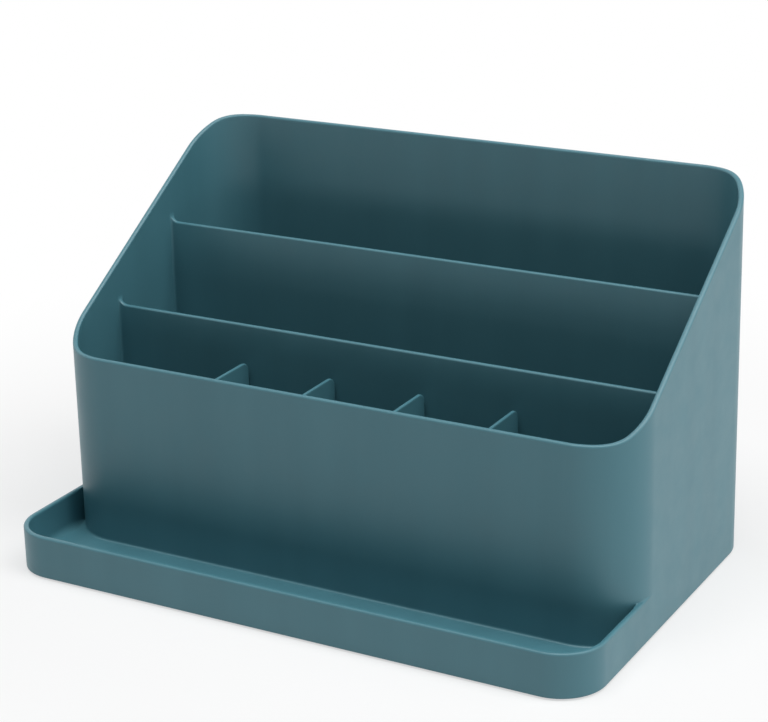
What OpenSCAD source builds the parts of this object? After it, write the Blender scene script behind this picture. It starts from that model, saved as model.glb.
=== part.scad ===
// Tiered desk organizer: one moulded housing with a sloping rim and a front tray,
// two upright partitions, four lift-out dividers in the front row and four feet.
// Millimetres. X runs across the width, +Y points to the back and +Z is up.
// The origin lies on the desk, under the middle of the footprint.

/* [Housing] */
// Width across the flat sides
width = 280; // [250:1:330]
// Depth of the tall body, from its front face to its back face
body_depth = 143.5; // [136:0.5:175]
// How far the tray stands out in front of the body
tray_depth = 39.5; // [30:0.5:60]
// Height of the back rim above the housing's underside
back_height = 169.5; // [155:0.5:195]
// Height of the body's front rim above the housing's underside
front_height = 90.5; // [80:0.5:105]
// Height of the tray's rim above the housing's underside
tray_height = 19.5; // [13:0.5:30]
// Thickness of the outer walls
wall = 2.4; // [1.8:0.1:3.2]
// Thickness of the floor
floor_thickness = 3; // [2:0.1:4]
// Outside radius of the body's upright corners
body_corner_r = 27; // [15:0.5:34]
// Outside radius of the tray's upright corners
tray_corner_r = 20; // [10:0.5:28]
// Radius of the fillet between the body's front face and the tray's floor
foot_fillet_r = 1; // [0.5:0.5:4]

/* [Sloping rim] */
// Distance behind the front face where the slope leaves the front rim's height
low_rim_run = 9; // [7:0.5:20]
// Distance before the back face where the slope reaches the back rim's height
high_rim_run = 8; // [7:0.5:20]
// Radius that blends the slope into the level rims
rim_blend_r = 20; // [8:1:24]

/* [Partitions] */
// Distance from the body's front face to the middle of the front partition
front_partition_at = 52; // [45:0.5:62]
// Distance from the body's front face to the middle of the rear partition
rear_partition_at = 97; // [85:0.5:108]
// How far each partition's top edge lies below the side rim above it
partition_drop = 20; // [10:0.5:30]
// Thickness of a partition at its top edge
partition_top_t = 2.2; // [1.6:0.1:3]
// Thickness of a partition at the floor
partition_base_t = 3; // [2.4:0.1:4]
// Radius of the fillet where a partition's top edge meets the side walls
end_fillet_r = 3; // [1.5:0.5:5]

/* [Dividers] */
// Distance between neighbouring dividers, middle to middle
divider_pitch = 45; // [34:0.5:52]
// How far a divider's top edge lies below the front rim
divider_drop = 10; // [5:0.5:20]
// Thickness of a divider
divider_t = 1.6; // [1.2:0.1:2.4]
// Radius of a divider's two top corners
divider_corner_r = 4.5; // [2:0.5:8]
// Radius of a divider's two bottom corners
divider_foot_r = 2; // [1:0.5:5]
// Clearance on each side of a divider in its guides
divider_clearance = 0.3; // [0.2:0.05:0.5]
// Height of the guide ribs above the floor
guide_height = 56; // [35:1:62]
// How far a guide rib stands out from its wall
guide_depth = 1.8; // [1.2:0.1:2.4]
// Thickness of a guide rib
guide_t = 1.4; // [1:0.1:2]

/* [Feet] */
// Diameter of a foot
foot_d = 12; // [8:0.5:16]
// Thickness of a foot
foot_t = 2; // [1.6:0.1:2.2]
// How far a foot stands out below the housing
foot_proud = 0.8; // [0.6:0.1:1.2]
// Distance from the housing's sides, front and back to the middle of a foot
foot_inset = 20; // [14:0.5:40]
// Gap round a foot in its pocket
foot_clearance = 0.15; // [0.05:0.05:0.3]

/* [Hidden] */
DIVIDERS = ["left_outer_divider", "left_inner_divider", "right_inner_divider", "right_outer_divider"];
FEET = ["front_left_foot", "front_right_foot", "rear_left_foot", "rear_right_foot"];
$fn = 96;

housing_color = [0.16, 0.34, 0.38];
partition_color = [0.18, 0.37, 0.41];
divider_color = [0.22, 0.42, 0.46];
foot_color = [0.10, 0.11, 0.12];

// A cut runs this far past the face that it opens
past = 1;

total_depth = body_depth + tray_depth;
tray_y = -total_depth / 2;
front_y = tray_y + tray_depth;
back_y = total_depth / 2;
base_z = foot_proud;
floor_z = base_z + floor_thickness;
tray_z = base_z + tray_height;
front_z = base_z + front_height;
back_z = base_z + back_height;
guide_z = floor_z + guide_height;
inner_width = width - 2 * wall;

// The slope runs in a straight line from its lower end to its upper end
slope_low = [front_y + low_rim_run, front_z];
slope_high = [back_y - high_rim_run, back_z];
slope_angle = atan2(slope_high[1] - slope_low[1], slope_high[0] - slope_low[0]);
blend_reach = rim_blend_r * tan(slope_angle / 2);

front_partition_y = front_y + front_partition_at;
rear_partition_y = front_y + rear_partition_at;

divider_front_y = front_y + wall + divider_clearance;
divider_rear_y = front_partition_y - partition_base_t / 2 - divider_clearance;
divider_top_z = front_z - divider_drop;

function rim_z(y) = slope_low[1] + (y - slope_low[0]) * tan(slope_angle);
function divider_x(i) = (i - (len(DIVIDERS) - 1) / 2) * divider_pitch;
function along_slope(from, distance) = from + distance * [cos(slope_angle), sin(slope_angle)];

// Rectangle about the middle plane with its own corner radius at each end
module rounded_plan(w, y_low, y_high, r_low, r_high) {
    for (side = [-1, 1]) {
        translate([side * (w / 2 - r_low), y_low + r_low]) circle(r_low);
        translate([side * (w / 2 - r_high), y_high - r_high]) circle(r_high);
    }
    translate([-w / 2, y_low + r_low]) square([w, y_high - y_low - r_low - r_high]);
    translate([r_low - w / 2, y_low]) square([w - 2 * r_low, r_low]);
    translate([r_high - w / 2, y_high - r_high]) square([w - 2 * r_high, r_high]);
}

module body_plan(inset) {
    r = body_corner_r - inset;
    rounded_plan(width - 2 * inset, front_y + inset, back_y - inset, r, r);
}

module footprint_plan(inset) {
    rounded_plan(
        width - 2 * inset,
        tray_y + inset,
        back_y - inset,
        tray_corner_r - inset,
        body_corner_r - inset
    );
}

// Draws a profile given in Y and Z, and runs it along X about the middle plane
module along_x(length) {
    translate([-length / 2, 0, 0]) rotate([90, 0, 90]) linear_extrude(length) children();
}

// Draws a profile given in X and Z, and runs it along Y about the plane y
module along_y(y, length) {
    translate([0, y + length / 2, 0]) rotate([90, 0, 0]) linear_extrude(length) children();
}

// Side view of everything under the rim: level, blended, sloping, blended and level again
module under_rim_profile() {
    low_start = slope_low - [blend_reach, 0];
    high_end = slope_high + [blend_reach, 0];
    difference() {
        union() {
            polygon([
                [front_y - past, base_z],
                [front_y - past, front_z],
                low_start,
                along_slope(slope_low, blend_reach),
                along_slope(slope_high, -blend_reach),
                high_end,
                [back_y + past, back_z],
                [back_y + past, base_z]
            ]);
            translate(high_end - [0, rim_blend_r]) circle(rim_blend_r);
        }
        translate(low_start + [0, rim_blend_r]) circle(rim_blend_r);
    }
}

// Upright rib whose top slopes back to the wall, to lead a divider in
module guide_rib(x, wall_y, direction) {
    root = direction * wall / 4;
    translate([x, 0, 0]) along_x(guide_t) polygon([
        [wall_y - root, floor_z - floor_thickness / 2],
        [wall_y + direction * guide_depth, floor_z - floor_thickness / 2],
        [wall_y + direction * guide_depth, guide_z - guide_depth],
        [wall_y, guide_z],
        [wall_y - root, guide_z]
    ]);
}

// One rib on each side of every divider, standing out from the wall at wall_y
module guide_ribs(wall_y, direction) {
    offset_x = divider_t / 2 + divider_clearance + guide_t / 2;
    for (i = [0 : len(DIVIDERS) - 1], side = [-1, 1])
        guide_rib(divider_x(i) + side * offset_x, wall_y, direction);
}

module foot_at(i) {
    x = (i % 2 == 0 ? -1 : 1) * (width / 2 - foot_inset);
    y = i < 2 ? tray_y + foot_inset : back_y - foot_inset;
    translate([x, y, 0]) children();
}

module foot_pockets() {
    pocket_depth = foot_t - foot_proud;
    for (i = [0 : len(FEET) - 1])
        foot_at(i)
            translate([0, 0, base_z - past])
                cylinder(h = pocket_depth + past, d = foot_d + 2 * foot_clearance);
}

// Fillet along the foot of the body's straight front face, on the tray's floor
module front_fillet() {
    along_x(width - 2 * body_corner_r) difference() {
        translate([front_y - foot_fillet_r, floor_z - floor_thickness / 2])
            square([foot_fillet_r + wall / 2, foot_fillet_r + floor_thickness / 2]);
        translate([front_y - foot_fillet_r, floor_z + foot_fillet_r]) circle(foot_fillet_r);
    }
}

module base_and_tray() {
    difference() {
        translate([0, 0, base_z]) linear_extrude(tray_height) footprint_plan(0);
        translate([0, 0, floor_z]) linear_extrude(tray_height) difference() {
            footprint_plan(wall);
            body_plan(0);
        }
        translate([0, 0, floor_z]) linear_extrude(tray_height) body_plan(wall);
    }
}

module body_walls() {
    intersection() {
        translate([0, 0, tray_z]) linear_extrude(back_height) difference() {
            body_plan(0);
            body_plan(wall);
        }
        along_x(width + 2 * past) under_rim_profile();
    }
}

module housing() {
    color(housing_color) difference() {
        union() {
            base_and_tray();
            body_walls();
            front_fillet();
            guide_ribs(front_y + wall, 1);
        }
        foot_pockets();
    }
}

// Plate across the housing that thins towards its top and sweeps up at both ends
module partition(y) {
    top_z = rim_z(y) - partition_drop;
    end_x = inner_width / 2;
    intersection() {
        along_y(y, 2 * partition_base_t) {
            translate([-end_x, floor_z]) square([inner_width, top_z - floor_z]);
            for (side = [-1, 1]) difference() {
                translate([side * (end_x - end_fillet_r / 2), top_z])
                    square([end_fillet_r, 2 * end_fillet_r], center = true);
                translate([side * (end_x - end_fillet_r), top_z + end_fillet_r])
                    circle(end_fillet_r);
            }
        }
        along_x(inner_width) polygon([
            [y - partition_base_t / 2, floor_z],
            [y - partition_top_t / 2, top_z],
            [y - partition_top_t / 2, top_z + end_fillet_r],
            [y + partition_top_t / 2, top_z + end_fillet_r],
            [y + partition_top_t / 2, top_z],
            [y + partition_base_t / 2, floor_z]
        ]);
    }
}

module front_partition() {
    color(partition_color) union() {
        partition(front_partition_y);
        intersection() {
            guide_ribs(front_partition_y - partition_base_t / 2, -1);
            translate([-width / 2, front_y, floor_z]) cube([width, body_depth, guide_height]);
        }
    }
}

module rear_partition() {
    color(partition_color) partition(rear_partition_y);
}

// Plate with four rounded corners that stands on the floor between its guides
module divider(i) {
    middle_y = (divider_front_y + divider_rear_y) / 2;
    depth = divider_rear_y - divider_front_y;
    color(divider_color) translate([divider_x(i), 0, 0]) along_x(divider_t)
        translate([middle_y, 0])
            rounded_plan(depth, floor_z, divider_top_z, divider_foot_r, divider_corner_r);
}

module foot(i) {
    color(foot_color) foot_at(i) cylinder(h = foot_t, d = foot_d);
}

housing();
front_partition();
rear_partition();
for (i = [0 : len(DIVIDERS) - 1]) divider(i);
for (i = [0 : len(FEET) - 1]) foot(i);
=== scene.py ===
"""Looks of the tiered desk organizer with a front tray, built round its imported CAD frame.

Lengths below are in millimetres and become metres where a mesh or a light is made. X runs
across the width, +Y points to the back and +Z is up, with the origin on the desk.
"""

import math

import bmesh
import bpy
import numpy as np
from mathutils import Matrix, Vector


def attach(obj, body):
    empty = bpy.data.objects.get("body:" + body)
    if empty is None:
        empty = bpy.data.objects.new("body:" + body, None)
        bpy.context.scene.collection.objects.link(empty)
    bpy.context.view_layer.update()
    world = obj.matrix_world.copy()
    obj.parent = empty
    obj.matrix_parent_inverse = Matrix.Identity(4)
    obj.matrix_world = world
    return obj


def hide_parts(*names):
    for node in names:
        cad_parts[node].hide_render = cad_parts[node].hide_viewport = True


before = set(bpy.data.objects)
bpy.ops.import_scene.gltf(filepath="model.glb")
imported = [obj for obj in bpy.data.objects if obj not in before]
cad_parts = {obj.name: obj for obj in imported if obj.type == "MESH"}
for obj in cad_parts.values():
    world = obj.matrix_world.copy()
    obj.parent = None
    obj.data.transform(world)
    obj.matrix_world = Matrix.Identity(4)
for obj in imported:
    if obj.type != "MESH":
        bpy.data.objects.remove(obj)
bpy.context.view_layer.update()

MM = 0.001
QUARTER = math.pi / 2

# Housing, as in the CAD
HALF_WIDTH = 140.0
TRAY_Y, FRONT_Y, BACK_Y = -91.5, -52.0, 91.5
BASE_Z, FLOOR_Z, TRAY_Z, FRONT_Z, BACK_Z = 0.8, 3.8, 20.3, 91.3, 170.3
WALL = 2.4
BODY_R, TRAY_R = 27.0, 20.0
LOW_RUN, HIGH_RUN, BLEND_R = 9.0, 8.0, 20.0

# Roundings of the finished moulding
RIM_R, BASE_R = 0.95, 0.5
TRAY_FILLET, FRONT_FILLET, INNER_FILLET = 3.0, 1.0, 1.2
NOTCH_FILLET, NOTCH_FADE = 1.4, 6.0
SUPPORT = 0.5

# Partitions, dividers, guides and feet, as in the CAD but for their roundings
PARTITIONS = {"front_partition": 0.0, "rear_partition": 45.0}
PARTITION_DROP = 20.0
PARTITION_TOP_T, PARTITION_BASE_T = 2.2, 3.0
PARTITION_R, PARTITION_FILLET, FLICK_R = 0.85, 1.2, 4.0
DIVIDERS = {
    "left_outer_divider": -67.5,
    "left_inner_divider": -22.5,
    "right_inner_divider": 22.5,
    "right_outer_divider": 67.5,
}
DIVIDER_T, DIVIDER_CLEARANCE, DIVIDER_DROP = 1.6, 0.3, 10.0
DIVIDER_TOP_R, DIVIDER_FOOT_R, DIVIDER_EDGE_R = 4.5, 2.0, 0.6
GUIDE_TOP, GUIDE_DEPTH, GUIDE_T, GUIDE_ROOT, GUIDE_R = 59.8, 1.8, 1.4, 0.6, 0.35
FOOT_R, FOOT_TOP, FOOT_GAP, FOOT_EDGE_R = 6.0, 2.0, 0.15, 0.35
POCKET_TOP = 2.0
FEET = {
    "front_left_foot": (-120.0, -71.5),
    "front_right_foot": (120.0, -71.5),
    "rear_left_foot": (-120.0, 71.5),
    "rear_right_foot": (120.0, 71.5),
}

# ---- Rim line ----

SLOPE = (BACK_Z - FRONT_Z) / (BACK_Y - HIGH_RUN - FRONT_Y - LOW_RUN)
SLOPE_ANGLE = math.atan(SLOPE)
LOW_Y, HIGH_Y = FRONT_Y + LOW_RUN, BACK_Y - HIGH_RUN
BLEND_REACH = BLEND_R * math.tan(SLOPE_ANGLE / 2)


def rim_height(y):
    """Height of the rim over y: level, an arc, a straight slope, an arc and level again."""
    arc_run = BLEND_R * math.sin(SLOPE_ANGLE)
    low_start, high_end = LOW_Y - BLEND_REACH, HIGH_Y + BLEND_REACH
    low = FRONT_Z + BLEND_R - np.sqrt(BLEND_R**2 - np.clip(y - low_start, 0, arc_run) ** 2)
    high = BACK_Z - BLEND_R + np.sqrt(BLEND_R**2 - np.clip(high_end - y, 0, arc_run) ** 2)
    straight = FRONT_Z + (y - LOW_Y) * SLOPE
    return np.where(
        y < low_start + arc_run, low, np.where(y > high_end - arc_run, high, straight)
    )


def rim_normal(y):
    """Upward unit normal of the rim's top surface, from its rise by central difference."""
    step = 0.01
    rise = (rim_height(y + step) - rim_height(y - step)) / (2 * step)
    normal = points(0 * y, -rise, 1 + 0 * y)
    return normal / np.linalg.norm(normal, axis=-1, keepdims=True)


# ---- Mesh helpers ----


def points(x, y, z):
    """Puts arrays of X, Y and Z together as points."""
    return np.stack(np.broadcast_arrays(x, y, z), axis=-1).astype(float)


def mirrored(surface):
    """The same surface on the other side of the middle plane."""
    return surface * [-1.0, 1.0, 1.0]


def closed_rows(surface):
    """Repeats the first row after the last, to close the surface on itself."""
    return np.concatenate([surface, surface[:1]])


def weld(verts, quads, step=1e-4):
    """Gives points that coincide one number, and drops the corners and faces that vanish."""
    keys = np.round(verts / step).astype(np.int64)
    _, first, number = np.unique(keys, axis=0, return_index=True, return_inverse=True)
    quads = number.reshape(-1)[quads]
    kept = quads != np.roll(quads, 1, axis=1)
    corners = kept.sum(axis=1)
    triangles = quads[corners == 3][kept[corners == 3]].reshape(-1, 3)
    return verts[first], quads[corners == 4].tolist() + triangles.tolist()


def make_piece(name, surfaces, material, sharp_degrees=32.0):
    """One mesh from grids of points: quads between neighbours, welded and turned outwards."""
    verts, quads, count = [], [], 0
    for surface in surfaces:
        rows, columns = surface.shape[:2]
        index = np.arange(rows * columns).reshape(rows, columns) + count
        corners = [index[:-1, :-1], index[1:, :-1], index[1:, 1:], index[:-1, 1:]]
        verts.append(surface.reshape(-1, 3))
        quads.append(np.stack(corners, axis=-1).reshape(-1, 4))
        count += rows * columns
    verts, faces = weld(np.concatenate(verts), np.concatenate(quads))
    mesh = bpy.data.meshes.new(name)
    mesh.from_pydata((verts * MM).tolist(), [], faces)
    work = bmesh.new()
    work.from_mesh(mesh)
    bmesh.ops.recalc_face_normals(work, faces=work.faces)
    work.to_mesh(mesh)
    work.free()
    mesh.polygons.foreach_set("use_smooth", np.ones(len(mesh.polygons), bool))
    mesh.set_sharp_from_angle(angle=math.radians(sharp_degrees))
    mesh.materials.append(material)
    piece = bpy.data.objects.new(name, mesh)
    bpy.context.scene.collection.objects.link(piece)
    return piece


def between(low, high, count, support=SUPPORT):
    """Heights from low to high, with a row close to each end so that flat walls shade flat."""
    low, high = np.broadcast_arrays(low, high)
    low, high = low[..., None], high[..., None]
    margin = np.minimum(support, (high - low) / 4)
    inner = low + margin + (high - low - 2 * margin) * np.linspace(0, 1, count)
    return np.concatenate([low, inner, high], axis=-1)


# ---- Plan of the right half, from the middle of the front to the middle of the back ----

CORNER_X, CORNER_FRONT_Y, CORNER_BACK_Y = HALF_WIDTH - BODY_R, FRONT_Y + BODY_R, BACK_Y - BODY_R
TRAY_CORNER = (HALF_WIDTH - TRAY_R, TRAY_Y + TRAY_R)
PATCH_X, PATCH_Y = 100.0, 51.5
CORNER_STEPS, NOTCH_STEPS, SIDE_STEPS = 51, 14, 20
TIP_TURN = math.asin((BODY_R - WALL) / BODY_R)
TIP_Y = CORNER_FRONT_Y - BODY_R * math.cos(TIP_TURN)

front_x = np.concatenate([np.linspace(0, PATCH_X, 21), np.linspace(PATCH_X, CORNER_X, 4)[1:]])


def arc_plan(centre, radius, start, end, steps):
    """Points and outward normals along an arc, without its first point."""
    turn = np.linspace(start, end, steps + 1)[1:]
    normal = np.stack([np.cos(turn), np.sin(turn)], axis=-1)
    return np.array(centre) + radius * normal, normal


def line_plan(start, end, steps, normal):
    """Points and one normal along a straight line, without its first point."""
    along = np.linspace(0, 1, steps + 1)[1:, None]
    line = np.array(start) + (np.array(end) - np.array(start)) * along
    return line, np.tile(np.array(normal, float), (steps, 1))


def join_plan(*runs):
    """Runs of points and normals, one after the other."""
    return np.concatenate([run[0] for run in runs]), np.concatenate([run[1] for run in runs])


def front_run(y):
    """The straight front or back, from the middle to the corner."""
    side = -1.0 if y < 0 else 1.0
    line = np.stack([front_x, np.full_like(front_x, y)], axis=-1)
    return line, np.tile([0.0, side], (len(front_x), 1))


side_runs = [
    line_plan((HALF_WIDTH, CORNER_FRONT_Y), (HALF_WIDTH, PATCH_Y), SIDE_STEPS, (1, 0)),
    line_plan((HALF_WIDTH, PATCH_Y), (HALF_WIDTH, CORNER_BACK_Y), 3, (1, 0)),
    arc_plan((CORNER_X, CORNER_BACK_Y), BODY_R, 0, QUARTER, 40),
]
back_line, back_normal = front_run(BACK_Y)
back_half = (back_line[-2::-1], back_normal[-2::-1])
corner_front = (CORNER_X, CORNER_FRONT_Y)
body_xy, body_n = join_plan(
    front_run(FRONT_Y),
    arc_plan(corner_front, BODY_R, -QUARTER, TIP_TURN - QUARTER, CORNER_STEPS),
    arc_plan(corner_front, BODY_R, TIP_TURN - QUARTER, 0, NOTCH_STEPS),
    *side_runs,
    back_half,
)
TIP = len(front_x) - 1 + CORNER_STEPS
NOTCH_END = TIP + NOTCH_STEPS
notch_y = body_xy[TIP + 1 : NOTCH_END + 1, 1]
notch_line = np.stack([np.full(NOTCH_STEPS, HALF_WIDTH), notch_y], axis=-1)
skirt_xy, skirt_n = join_plan(
    front_run(TRAY_Y),
    line_plan((CORNER_X, TRAY_Y), (TRAY_CORNER[0], TRAY_Y), 3, (0, -1)),
    arc_plan(TRAY_CORNER, TRAY_R, -QUARTER, 0, 30),
    line_plan((HALF_WIDTH, TRAY_CORNER[1]), (HALF_WIDTH, -PATCH_Y), 9, (1, 0)),
    line_plan((HALF_WIDTH, -PATCH_Y), (HALF_WIDTH, TIP_Y), 9, (1, 0)),
    (notch_line, np.tile([1.0, 0.0], (NOTCH_STEPS, 1))),
    *side_runs,
    back_half,
)
count = len(body_xy)
station = np.arange(count)


def smooth_step(value):
    """Rises from 0 to 1 with level ends."""
    value = np.clip(value, 0, 1)
    return value * value * (3 - 2 * value)


def at(xy, normal, inset, z):
    """Points at a distance inside a plan line. Rows follow the line, columns the profile."""
    return points(
        xy[:, None, 0] - normal[:, None, 0] * inset,
        xy[:, None, 1] - normal[:, None, 1] * inset,
        z,
    )


def arc_steps(steps):
    """Angles of a quarter turn."""
    return np.linspace(0, QUARTER, steps + 1)


# ---- Housing ----

# Step between the tray's outer wall and the body's: two arcs, one convex and one hollow
past_tip = skirt_xy[:, 1] - TIP_Y
step_width = skirt_xy[:, 0] - body_xy[:, 0]
notch_fillet = NOTCH_FILLET * smooth_step(past_tip / NOTCH_FADE)
step_turn = np.arccos(np.clip(1 - step_width / (RIM_R + notch_fillet), 0, 1))
step_turn[:TIP] = QUARTER
step_turn[NOTCH_END:] = 0
inner_round = RIM_R * smooth_step(-past_tip / NOTCH_FADE)


def skirt_surface():
    """Outer wall up to the tray's rim: a small arc at the bottom edge, then upright."""
    turn = arc_steps(3)[:-1]
    top = TRAY_Z - RIM_R * np.sin(step_turn)
    wall = between(np.full(count, BASE_Z + BASE_R), top, 4)
    inset = np.concatenate([BASE_R * (1 - np.sin(turn)), np.zeros(wall.shape[1])])
    low = np.tile(BASE_Z + BASE_R * (1 - np.cos(turn)), (count, 1))
    return at(skirt_xy, skirt_n, inset, np.concatenate([low, wall], axis=1))


def tray_rim_surface():
    """Top of the tray's rim: a convex arc from the outer wall, then level to the inner edge."""
    rows = slice(0, NOTCH_END + 1)
    turn = step_turn[rows, None] * np.linspace(0, 1, 7)
    arc_inset = RIM_R * (1 - np.cos(turn))
    arc_z = TRAY_Z - RIM_R * np.sin(step_turn[rows, None]) + RIM_R * np.sin(turn)
    past = station[rows, None] >= TIP
    inner = np.where(
        past,
        step_width[rows, None] - notch_fillet[rows, None] * (1 - np.cos(step_turn[rows, None])),
        WALL - inner_round[rows, None],
    )
    level = arc_inset[:, -1:] + (inner - arc_inset[:, -1:]) * np.linspace(0, 1, 3)[1:]
    inset = np.concatenate([arc_inset, level], axis=1)
    z = np.concatenate([arc_z, np.full_like(level, TRAY_Z)], axis=1)
    return at(skirt_xy[rows], skirt_n[rows], inset, z)


def notch_surface():
    """Hollow arc from the level rim up to the body's corner, which fades out along the side."""
    rows = slice(TIP, NOTCH_END + 1)
    turn = step_turn[rows, None] * np.linspace(1, 0, 6)
    radius = notch_fillet[rows, None]
    out = radius * (1 - np.cos(turn))
    z = TRAY_Z + radius * (np.sin(step_turn[rows, None]) - np.sin(turn))
    return points(body_xy[rows, None, 0] + out, body_xy[rows, None, 1], z)


def tray_surface():
    """Inside of the tray: rim, inner wall, fillet, ruled floor, fillet and body's front face."""
    rows = slice(0, TIP + 1)
    edge_xy, edge_n = skirt_xy[rows] - WALL * skirt_n[rows], skirt_n[rows]
    face_xy, face_n = body_xy[rows], body_n[rows]
    gap = np.linalg.norm(face_xy - edge_xy, axis=1)[:, None]
    gap[-1] = 0
    radius = inner_round[rows, None]
    foot = np.minimum(TRAY_FILLET, 0.4 * gap)
    face_foot = np.minimum(FRONT_FILLET, 0.4 * gap)
    turn = arc_steps(5)
    rim_z = TRAY_Z - radius * (1 - np.cos(turn))
    rim = at(edge_xy, edge_n, -radius * (1 - np.sin(turn)), rim_z)
    level = np.array([0, 0.04, 0.2, 0.4, 0.6, 0.8, 0.96, 1])
    wall_z = TRAY_Z - radius - (TRAY_Z - radius - FLOOR_Z - foot) * level[1:]
    wall = at(edge_xy, edge_n, 0 * wall_z, wall_z)
    turn = arc_steps(5)[1:]
    fillet_z = FLOOR_Z + foot * (1 - np.sin(turn))
    fillet = at(edge_xy, edge_n, foot * (1 - np.cos(turn)), fillet_z)
    back_turn = arc_steps(5)[::-1]
    face_fillet_z = FLOOR_Z + face_foot * (1 - np.sin(back_turn))
    face_fillet = at(face_xy, face_n, -face_foot * (1 - np.cos(back_turn)), face_fillet_z)
    across = np.array([0.04, 0.2, 0.4, 0.6, 0.8, 0.96])[:, None]
    floor = fillet[:, -1:] * (1 - across) + face_fillet[:, :1] * across
    face_z = FLOOR_Z + face_foot + (TRAY_Z - FLOOR_Z - face_foot) * (1 - level[::-1])[1:]
    face = at(face_xy, face_n, 0 * face_z, face_z)
    return np.concatenate([rim, wall, fillet, floor, face_fillet, face], axis=1)


def turned(start, end, steps):
    """Unit vectors that turn evenly from start to end."""
    between_them = np.arccos(np.clip((start * end).sum(-1, keepdims=True), -1, 1))[:, None]
    part = np.linspace(0, 1, steps + 1)[None, :, None]
    from_start = start[:, None] * np.sin((1 - part) * between_them)
    from_end = end[:, None] * np.sin(part * between_them)
    return (from_start + from_end) / np.sin(between_them)


def rim_surface():
    """Body's rim: the arc of a ball rolled along each edge, and the ruled top between the two."""
    sides = []
    for inset, sign in ((0.0, 1.0), (WALL, -1.0)):
        xy = body_xy - body_n * inset
        out = points(sign * body_n[:, 0], sign * body_n[:, 1], np.zeros(count))
        up = rim_normal(xy[:, 1])
        edge = points(xy[:, 0], xy[:, 1], rim_height(xy[:, 1]))
        centre = edge - RIM_R * (out + up) / (1 + (out * up).sum(-1, keepdims=True))
        sides.append(centre[:, None] + RIM_R * turned(out, up, 6))
    outer, inner = sides
    across = np.array([[0.5]])
    top = outer[:, -1:] * (1 - across) + inner[:, -1:] * across
    whole = np.concatenate([outer, top, inner[:, ::-1]], axis=1)
    return np.minimum(whole, [HALF_WIDTH, BACK_Y, BACK_Z])


def body_wall_surface(rim):
    """Body's outer wall, from the tray's level up to the rim's arc."""
    low = TRAY_Z + np.where(station >= TIP, notch_fillet * np.sin(step_turn), 0)
    wall = at(body_xy, body_n, 0, between(low, rim[:, 0, 2], 8))
    wall[:, -1] = rim[:, 0]
    return wall


def body_inside_surface(rim):
    """Body's inner wall, its fillet and its floor, level as far as a line along the middle."""
    inner_xy = body_xy - WALL * body_n
    wall_z = between(np.full(count, FLOOR_Z + INNER_FILLET), rim[:, -1, 2], 10)
    wall = at(inner_xy, body_n, 0, wall_z)
    wall[:, -1] = rim[:, -1]
    turn = arc_steps(4)
    inset, rise = INNER_FILLET * (1 - np.cos(turn)), INNER_FILLET * (1 - np.sin(turn))
    fillet = at(inner_xy, body_n, inset, FLOOR_Z + rise)
    middle_x = np.minimum(body_xy[:, 0], CORNER_X)
    middle = points(middle_x, (FRONT_Y + BACK_Y) / 2, FLOOR_Z)[:, None]
    across = np.array([0.02, 0.5, 1])[:, None]
    floor = fillet[:, -1:] * (1 - across) + middle * across
    return np.concatenate([wall[:, ::-1], fillet[:, 1:], floor], axis=1)


def underside_surfaces():
    """Flat underside in blocks: middle, sides and a ring round each foot, with its pocket."""
    edge_xy = skirt_xy - BASE_R * skirt_n
    low_y, high_y = edge_xy[0, 1], edge_xy[-1, 1]
    middle_x = front_x[: np.searchsorted(front_x, PATCH_X) + 1]
    first = int(np.argmin(np.abs(skirt_xy[: TIP + 1, 1] + PATCH_Y)))
    last = NOTCH_END + SIDE_STEPS
    side_y = edge_xy[first : last + 1, 1]
    steps = np.linspace(0, 1, 7)
    front_y = low_y + (-PATCH_Y - low_y) * steps
    rear_y = PATCH_Y + (high_y - PATCH_Y) * steps
    out_x = PATCH_X + (edge_xy[first, 0] - PATCH_X) * steps
    all_y = np.concatenate([front_y[:-1], side_y, rear_y[1:]])
    blocks = [
        points(middle_x[:, None], all_y[None], BASE_Z),
        points(out_x[:, None], side_y[None], BASE_Z),
    ]
    edge_start = len(middle_x) - 1
    level_line = np.stack([out_x, np.full(7, 1.0)], -1)
    front_ring = np.concatenate([
        edge_xy[edge_start : first + 1],
        (level_line * [1, -PATCH_Y])[::-1][1:],
        np.stack([np.full(7, PATCH_X), front_y], -1)[::-1][1:-1],
    ])
    rear_end = count - len(middle_x)
    rear_ring = np.concatenate([
        edge_xy[last : rear_end + 1],
        np.stack([np.full(7, PATCH_X), rear_y], -1)[::-1][1:],
        (level_line * [1, PATCH_Y])[1:-1],
    ])
    for ring, foot in ((front_ring, "front_right_foot"), (rear_ring, "rear_right_foot")):
        centre = np.array(FEET[foot])
        ring = closed_rows(ring)
        ray = ring - centre
        ray /= np.linalg.norm(ray, axis=1, keepdims=True)
        hole = centre + (FOOT_R + FOOT_GAP) * ray
        part = np.linspace(0, 1, 5)[:, None]
        flat = ring[:, None] * (1 - part) + hole[:, None] * part
        blocks.append(points(flat[..., 0], flat[..., 1], BASE_Z))
        radius = (FOOT_R + FOOT_GAP) * np.array([1, 1, 1, 0.5, 0])
        height = np.array([BASE_Z, (BASE_Z + POCKET_TOP) / 2, POCKET_TOP, POCKET_TOP, POCKET_TOP])
        pocket_x, pocket_y = centre[0] + ray[:, :1] * radius, centre[1] + ray[:, 1:] * radius
        blocks.append(points(pocket_x, pocket_y, height))
    return blocks


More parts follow.
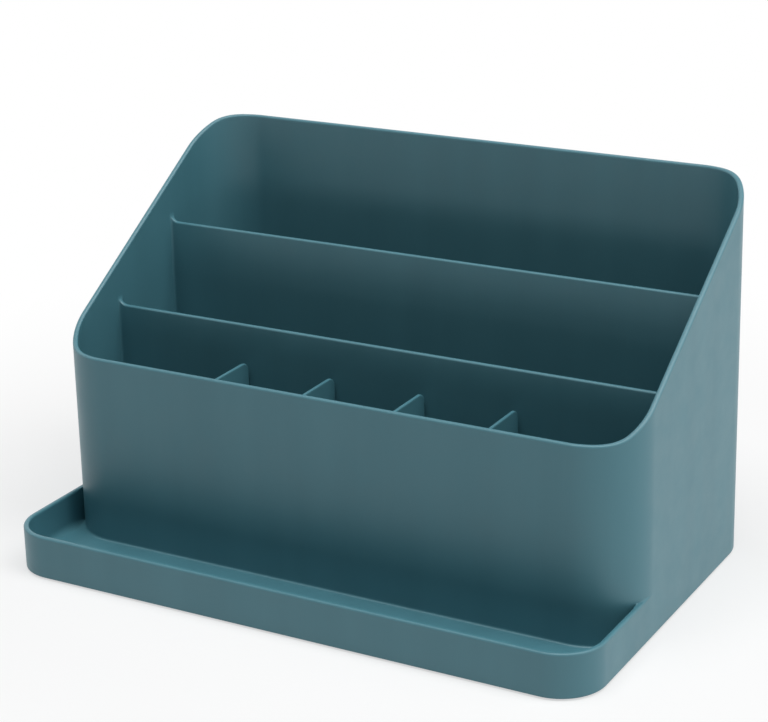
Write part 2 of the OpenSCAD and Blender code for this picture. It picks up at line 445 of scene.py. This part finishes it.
def rounded_outline(corners, radii, steps=6):
    """Outline of a convex shape with an arc in each corner, with its outward normals."""
    corners = np.array(corners, float)
    before = corners - np.roll(corners, 1, axis=0)
    before /= np.linalg.norm(before, axis=1, keepdims=True)
    after = np.roll(before, -1, axis=0)
    turn_in = np.stack([before[:, 1], -before[:, 0]], -1)
    turn_out = np.stack([after[:, 1], -after[:, 0]], -1)
    normals = turned(turn_in, turn_out, steps)
    shift = (turn_in + turn_out) / (1 + (turn_in * turn_out).sum(1, keepdims=True))
    radii = np.array(radii, float)[:, None]
    centres = corners - radii * shift
    line = centres[:, None] + radii[:, None] * normals
    return line.reshape(-1, 2), normals.reshape(-1, 2)


def plate_surface(outline, x, thickness, edge_r):
    """Plate across X: its outline in Y and Z over both rounded edges, closed by flat fans."""
    line, normal = outline
    line, normal = closed_rows(line), closed_rows(normal)
    middle = line[:-1].mean(axis=0)
    turn = np.linspace(-QUARTER, QUARTER, 9)
    inset = edge_r * (1 - np.cos(turn))
    across = (thickness / 2 - edge_r) * np.sign(turn) + edge_r * np.sin(turn)
    rim = line[:, None] - normal[:, None] * inset[:, None]
    support = line - normal * (edge_r + SUPPORT / 2)
    side = thickness / 2
    columns = [np.broadcast_to(middle, line.shape), support]
    profile = np.stack([*columns, *np.moveaxis(rim, 1, 0), *columns[::-1]], axis=1)
    across = np.concatenate([[-side, -side], across, [side, side]])
    return points(x + across, profile[..., 0], profile[..., 1])


def guide_surfaces(wall_y, direction):
    """Two upright ribs for each divider, whose sloping tops lead it in."""
    offset = DIVIDER_T / 2 + DIVIDER_CLEARANCE + GUIDE_T / 2
    face, root = wall_y + direction * GUIDE_DEPTH, wall_y - direction * GUIDE_ROOT
    low = FLOOR_Z - GUIDE_ROOT
    lead_in = (face, GUIDE_TOP - GUIDE_DEPTH)
    corners = [(face, low), lead_in, (wall_y, GUIDE_TOP), (root, GUIDE_TOP), (root, low)]
    radii = [GUIDE_R, GUIDE_R, GUIDE_R, GUIDE_R / 2, GUIDE_R]
    if direction < 0:
        corners, radii = corners[::-1], radii[::-1]
    outline = rounded_outline(corners, radii, 3)
    return [
        plate_surface(outline, x + side * offset, GUIDE_T, GUIDE_R)
        for x in DIVIDERS.values()
        for side in (-1, 1)
    ]


def housing_surfaces():
    """Every surface of the housing: the right half, its mirror image and the divider guides."""
    rim = rim_surface()
    half = [
        skirt_surface(),
        tray_rim_surface(),
        notch_surface(),
        tray_surface(),
        body_wall_surface(rim),
        rim,
        body_inside_surface(rim),
        *underside_surfaces(),
    ]
    return half + [mirrored(surface) for surface in half] + guide_surfaces(FRONT_Y + WALL, 1)


# ---- Partitions, dividers and feet ----


def partition_surface(y):
    """Plate whose section in Y and Z thins upwards and ends in a round, carried across in X.

    Its top sweeps up by a quarter arc at both walls, and hollow fillets widen it there and at
    the floor."""
    end = HALF_WIDTH - WALL
    top = float(rim_height(np.array(y))) - PARTITION_DROP
    turn = arc_steps(10)
    sweep_x = end - FLICK_R + FLICK_R * np.sin(turn)
    near = np.linspace(end - 2 * FLICK_R, sweep_x[0], 5)[:-1]
    half_x = np.concatenate([np.linspace(0, near[0], 24)[:-1], near, sweep_x, [end + GUIDE_ROOT]])
    x = np.concatenate([-half_x[:0:-1], half_x])
    bend = np.clip(np.abs(x) - (end - FLICK_R), 0, FLICK_R)
    top_z = top + FLICK_R - np.sqrt(FLICK_R**2 - bend**2)
    wall_reach = np.clip(np.abs(x) - (end - PARTITION_FILLET), 0, PARTITION_FILLET)
    wall_flare = PARTITION_FILLET - np.sqrt(PARTITION_FILLET**2 - wall_reach**2)
    low = FLOOR_Z - GUIDE_ROOT
    floor_turn = arc_steps(5)
    foot_z = FLOOR_Z + PARTITION_FILLET * (1 - np.cos(floor_turn))
    foot_flare = PARTITION_FILLET * (1 - np.sin(floor_turn))
    rise = np.linspace(0, 1, 8)[1:]
    body_z = foot_z[-1] + (top_z[None] - PARTITION_R - foot_z[-1]) * rise[:, None]
    arc_turn = arc_steps(6)[1:]
    z = np.concatenate([
        np.full((1, len(x)), low),
        np.broadcast_to(foot_z[:, None], (len(foot_z), len(x))),
        body_z,
        top_z[None] - PARTITION_R * (1 - np.sin(arc_turn))[:, None],
    ])
    thinning = (PARTITION_TOP_T - PARTITION_BASE_T) * (z - FLOOR_Z) / (top - FLOOR_Z)
    taper = (PARTITION_BASE_T + thinning) / 2
    flare = np.concatenate([[PARTITION_FILLET], foot_flare, np.zeros(len(z) - 1 - len(foot_flare))])
    round_drop = PARTITION_R * (1 - np.cos(arc_turn))
    drop = np.concatenate([np.zeros(len(z) - len(arc_turn)), round_drop])
    half_t = taper + flare[:, None] + wall_flare[None] - drop[:, None]
    shell = np.concatenate([points(x, y - half_t, z), points(x, y + half_t, z)[::-1]])
    shell = closed_rows(shell)
    ends = [shell[:, :1], shell[:, -1:]]
    caps = [np.concatenate([ring, ring * [1, 0, 1] + [0, y, 0]], axis=1) for ring in ends]
    return [shell, *caps]


def divider_surface(x):
    """Plate with round upper corners, small lower ones and a rounded edge all round."""
    low_y = FRONT_Y + WALL + DIVIDER_CLEARANCE
    high_y = PARTITIONS["front_partition"] - PARTITION_BASE_T / 2 - DIVIDER_CLEARANCE
    top = FRONT_Z - DIVIDER_DROP
    corners = [(low_y, FLOOR_Z), (high_y, FLOOR_Z), (high_y, top), (low_y, top)]
    radii = [DIVIDER_FOOT_R, DIVIDER_FOOT_R, DIVIDER_TOP_R, DIVIDER_TOP_R]
    return plate_surface(rounded_outline(corners, radii, 10), x, DIVIDER_T, DIVIDER_EDGE_R)


def foot_surface(x, y):
    """Disc turned about an upright axis, with a round at its lower edge."""
    turn = arc_steps(4)
    around = np.linspace(0, 2 * math.pi, 65)[:, None]
    edge = FOOT_R - FOOT_EDGE_R
    radius = np.concatenate([[0, edge - SUPPORT], edge + FOOT_EDGE_R * np.sin(turn), [FOOT_R, 0]])
    z = np.concatenate([[0, 0], FOOT_EDGE_R * (1 - np.cos(turn)), [FOOT_TOP, FOOT_TOP]])
    return points(x + radius * np.cos(around), y + radius * np.sin(around), z)


# ---- Materials: colours are linear, cells are per metre and depths are in metres ----

TEAL_LIGHT, TEAL_DARK = (0.0715, 0.208, 0.253), (0.0655, 0.1925, 0.235)
ROUGH_LOW, ROUGH_HIGH, PLASTIC_IOR = 0.36, 0.44, 1.49
FLOW_CELLS, FLOW_STRETCH, POLISH_CELLS = 62.0, 0.08, 90.0
SINK_CELLS, SINK_DEPTH = 22.0, 0.0004
GRAIN_CELLS, GRAIN_DEPTH = 2600.0, 0.00002
RUBBER_DARK, RUBBER_LIGHT = (0.018, 0.020, 0.022), (0.032, 0.035, 0.038)
MOTTLE_CELLS, RUBBER_CELLS, RUBBER_DEPTH = 700.0, 3000.0, 0.00004


def node_material(name):
    """Empty node material with its shader and its object coordinates."""
    material = bpy.data.materials.new(name)
    material.use_nodes = True
    tree = material.node_tree
    shader = tree.nodes["Principled BSDF"]
    place = tree.nodes.new("ShaderNodeTexCoord").outputs["Object"]
    return material, tree, shader, place


def noise(tree, place, scale, detail=3.0, roughness=0.5):
    """Noise over the piece's own coordinates. Scale is in cells per metre."""
    node = tree.nodes.new("ShaderNodeTexNoise")
    node.inputs["Scale"].default_value = scale
    node.inputs["Detail"].default_value = detail
    node.inputs["Roughness"].default_value = roughness
    tree.links.new(place, node.inputs["Vector"])
    return node.outputs["Fac"]


def stretched(tree, place, scale):
    """Coordinates for a pattern that is drawn out along an axis whose scale is below 1."""
    node = tree.nodes.new("ShaderNodeMapping")
    node.inputs["Scale"].default_value = scale
    tree.links.new(place, node.inputs["Vector"])
    return node.outputs["Vector"]


def spread(tree, value, low, high):
    """Maps the middle of a noise to a range of numbers."""
    node = tree.nodes.new("ShaderNodeMapRange")
    node.inputs["From Min"].default_value = 0.3
    node.inputs["From Max"].default_value = 0.7
    node.inputs["To Min"].default_value = low
    node.inputs["To Max"].default_value = high
    tree.links.new(value, node.inputs["Value"])
    return node.outputs["Result"]


def blend_colours(tree, factor, first, second):
    """Mixes two colours by a factor."""
    node = tree.nodes.new("ShaderNodeMix")
    node.data_type = "RGBA"
    node.inputs["A"].default_value = (*first, 1)
    node.inputs["B"].default_value = (*second, 1)
    tree.links.new(factor, node.inputs["Factor"])
    return node.outputs["Result"]


def bump(tree, height, distance, strength, under=None):
    """Raises the shading normal by a height in metres."""
    node = tree.nodes.new("ShaderNodeBump")
    node.inputs["Distance"].default_value = distance
    node.inputs["Strength"].default_value = strength
    tree.links.new(height, node.inputs["Height"])
    if under is not None:
        tree.links.new(under, node.inputs["Normal"])
    return node.outputs["Normal"]


def moulded_teal(name):
    """Satin teal plastic: faint upright flow marks, uneven polish and fine spark-eroded grain."""
    material, tree, shader, place = node_material(name)
    flow = stretched(tree, place, (1.0, 1.0, FLOW_STRETCH))
    cloud = spread(tree, noise(tree, flow, FLOW_CELLS, 4.0), 0.0, 1.0)
    colour = blend_colours(tree, cloud, TEAL_DARK, TEAL_LIGHT)
    tree.links.new(colour, shader.inputs["Base Color"])
    polish = spread(tree, noise(tree, place, POLISH_CELLS, 5.0, 0.6), ROUGH_LOW, ROUGH_HIGH)
    tree.links.new(polish, shader.inputs["Roughness"])
    sink = bump(tree, noise(tree, place, SINK_CELLS, 1.0), SINK_DEPTH, 0.15)
    grain = bump(tree, noise(tree, place, GRAIN_CELLS, 2.0, 0.6), GRAIN_DEPTH, 0.25, sink)
    tree.links.new(grain, shader.inputs["Normal"])
    shader.inputs["IOR"].default_value = PLASTIC_IOR
    return material


def foot_rubber(name):
    """Dull dark rubber with a fine mottled grain."""
    material, tree, shader, place = node_material(name)
    mottle = spread(tree, noise(tree, place, MOTTLE_CELLS, 4.0), 0.0, 1.0)
    colour = blend_colours(tree, mottle, RUBBER_DARK, RUBBER_LIGHT)
    tree.links.new(colour, shader.inputs["Base Color"])
    tree.links.new(spread(tree, mottle, 0.68, 0.85), shader.inputs["Roughness"])
    grain = bump(tree, noise(tree, place, RUBBER_CELLS, 2.0), RUBBER_DEPTH, 0.4)
    tree.links.new(grain, shader.inputs["Normal"])
    return material


# ---- Pieces ----

housing_teal = moulded_teal("housing_teal")
partition_teal = moulded_teal("partition_teal")
divider_teal = moulded_teal("divider_teal")
rubber = foot_rubber("foot_rubber")


def place_piece(piece, node, body):
    """The piece stands in for its CAD node, which is hidden, and rides on its body."""
    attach(piece, body)
    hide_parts(node)


housing = make_piece("housing_moulding", housing_surfaces(), housing_teal)
place_piece(housing, "housing", "base")

for node, y in PARTITIONS.items():
    surfaces = partition_surface(y)
    if node == "front_partition":
        surfaces += guide_surfaces(y - PARTITION_BASE_T / 2, -1)
    plate = make_piece(node + "_plate", surfaces, partition_teal)
    place_piece(plate, node, "base")

for node, x in DIVIDERS.items():
    plate = make_piece(node + "_plate", [divider_surface(x)], divider_teal)
    place_piece(plate, node, node)

for node, (x, y) in FEET.items():
    pad = make_piece(node + "_pad", [foot_surface(x, y)], rubber)
    place_piece(pad, node, "base")

# ---- Camera ----

IMAGE_WIDTH, IMAGE_HEIGHT, SENSOR = 768, 722, 36.0
FOCAL_PX, CENTRE_X, CENTRE_Y = 2202.47, 393.28, 292.53
AIM, DISTANCE = Vector((14.383, -11.651, 128.143)), 933.539
AZIMUTH, ELEVATION, ROLL = math.radians(29.271), math.radians(18.087), math.radians(-1.256)


def make_camera():
    """Camera at the measured azimuth, height, roll and off-centre framing."""
    back = Vector((
        math.sin(AZIMUTH) * math.cos(ELEVATION),
        -math.cos(AZIMUTH) * math.cos(ELEVATION),
        math.sin(ELEVATION),
    ))
    right = Vector((math.cos(AZIMUTH), math.sin(AZIMUTH), 0))
    up = back.cross(right)
    rolled_right = right * math.cos(ROLL) + up * math.sin(ROLL)
    rolled_up = up * math.cos(ROLL) - right * math.sin(ROLL)
    camera = bpy.data.objects.new("camera", bpy.data.cameras.new("camera"))
    bpy.context.scene.collection.objects.link(camera)
    turn = Matrix((rolled_right, rolled_up, back)).transposed().to_4x4()
    camera.matrix_world = Matrix.Translation((AIM + back * DISTANCE) * MM) @ turn
    camera.data.sensor_width = SENSOR
    camera.data.lens = FOCAL_PX * SENSOR / IMAGE_WIDTH
    camera.data.shift_x = (IMAGE_WIDTH / 2 - CENTRE_X) / IMAGE_WIDTH
    camera.data.shift_y = (CENTRE_Y - IMAGE_HEIGHT / 2) / IMAGE_WIDTH
    camera.data.clip_start, camera.data.clip_end = 0.01, 100.0
    bpy.context.scene.camera = camera


make_camera()

# ---- Floor, world and lamps ----

FLOOR_COLOUR, FLOOR_HALF = 0.86, 12.0
WHITE_NEAR, WHITE_FAR, NEAR_R, FAR_R = 0.60, 1.0, 0.14, 0.45
FILL_STRENGTH, LAMP_DISTANCE, COOL = 0.0, 2.0, (0.82, 0.95, 1.0)


def seen_directly(tree):
    """1 for camera, glossy and transmission rays, and 0 for the rays that light the object."""
    path = tree.nodes.new("ShaderNodeLightPath")
    either = path.outputs["Is Camera Ray"]
    for ray in ("Is Glossy Ray", "Is Transmission Ray"):
        most = tree.nodes.new("ShaderNodeMath")
        most.operation = "MAXIMUM"
        tree.links.new(either, most.inputs[0])
        tree.links.new(path.outputs[ray], most.inputs[1])
        either = most.outputs["Value"]
    return either


def mix_shaders(tree, factor, first, second):
    """Blends two shaders into the material's or world's surface."""
    mix = tree.nodes.new("ShaderNodeMixShader")
    tree.links.new(factor, mix.inputs["Fac"])
    tree.links.new(first, mix.inputs[1])
    tree.links.new(second, mix.inputs[2])
    tree.links.new(mix.outputs["Shader"], tree.get_output_node("ALL").inputs["Surface"])


def make_floor():
    """Pale matte floor, level with the feet, which turns to plain white away from the object."""
    mesh = bpy.data.meshes.new("floor")
    half = FLOOR_HALF
    corners = [(-half, -half, 0), (half, -half, 0), (half, half, 0), (-half, half, 0)]
    mesh.from_pydata(corners, [], [(0, 1, 2, 3)])
    material, tree, shader, place = node_material("floor_matte")
    shader.inputs["Base Color"].default_value = (FLOOR_COLOUR, FLOOR_COLOUR, FLOOR_COLOUR, 1)
    shader.inputs["Roughness"].default_value = 0.9
    shader.inputs["Specular IOR Level"].default_value = 0.1
    white = tree.nodes.new("ShaderNodeEmission")
    distance = tree.nodes.new("ShaderNodeVectorMath")
    distance.operation = "LENGTH"
    tree.links.new(place, distance.inputs[0])
    fade = tree.nodes.new("ShaderNodeMapRange")
    fade.interpolation_type = "SMOOTHSTEP"
    for name, value in zip(
        ("From Min", "From Max", "To Min", "To Max"), (NEAR_R, FAR_R, WHITE_NEAR, WHITE_FAR)
    ):
        fade.inputs[name].default_value = value
    tree.links.new(distance.outputs["Value"], fade.inputs["Value"])
    share = tree.nodes.new("ShaderNodeMath")
    share.operation = "MULTIPLY"
    tree.links.new(seen_directly(tree), share.inputs[0])
    tree.links.new(fade.outputs["Result"], share.inputs[1])
    mix_shaders(tree, share.outputs["Value"], shader.outputs["BSDF"], white.outputs["Emission"])
    mesh.materials.append(material)
    floor = bpy.data.objects.new("floor", mesh)
    bpy.context.scene.collection.objects.link(floor)


def make_world():
    """White where the camera or a reflection sees it, and no light of its own on the object."""
    world = bpy.data.worlds.new("studio")
    bpy.context.scene.world = world
    world.use_nodes = True
    tree = world.node_tree
    seen, soft = tree.nodes["Background"], tree.nodes.new("ShaderNodeBackground")
    for background, strength in ((seen, 1.0), (soft, FILL_STRENGTH)):
        background.inputs["Color"].default_value = (1, 1, 1, 1)
        background.inputs["Strength"].default_value = strength
    mix_shaders(tree, seen_directly(tree), soft.outputs["Background"], seen.outputs["Background"])


def make_lamp(name, azimuth, elevation, size, watts, colour=(1, 1, 1), aim=(0, 0, 0.07)):
    """Square soft box, LAMP_DISTANCE metres from the origin and turned to face the object."""
    turn, rise = math.radians(azimuth), math.radians(elevation)
    level = math.cos(rise)
    away = Vector((math.sin(turn) * level, -math.cos(turn) * level, math.sin(rise)))
    place = LAMP_DISTANCE * away
    lamp = bpy.data.lights.new(name, "AREA")
    lamp.shape, lamp.size, lamp.energy, lamp.color = "SQUARE", size, watts, colour
    holder = bpy.data.objects.new(name, lamp)
    bpy.context.scene.collection.objects.link(holder)
    facing = (place - Vector(aim)).to_track_quat("Z", "Y").to_matrix().to_4x4()
    holder.matrix_world = Matrix.Translation(place) @ facing


make_floor()
make_world()
make_lamp("top_box", 0, 80, 1.2, 24.2)
make_lamp("right_high_box", 90, 60, 1.0, 16.9)
make_lamp("right_low_box", 100, 19, 1.8, 11.5)
make_lamp("left_box", 270, 35, 1.8, 5.0, COOL)

scene = bpy.context.scene
scene.view_settings.view_transform = "Standard"
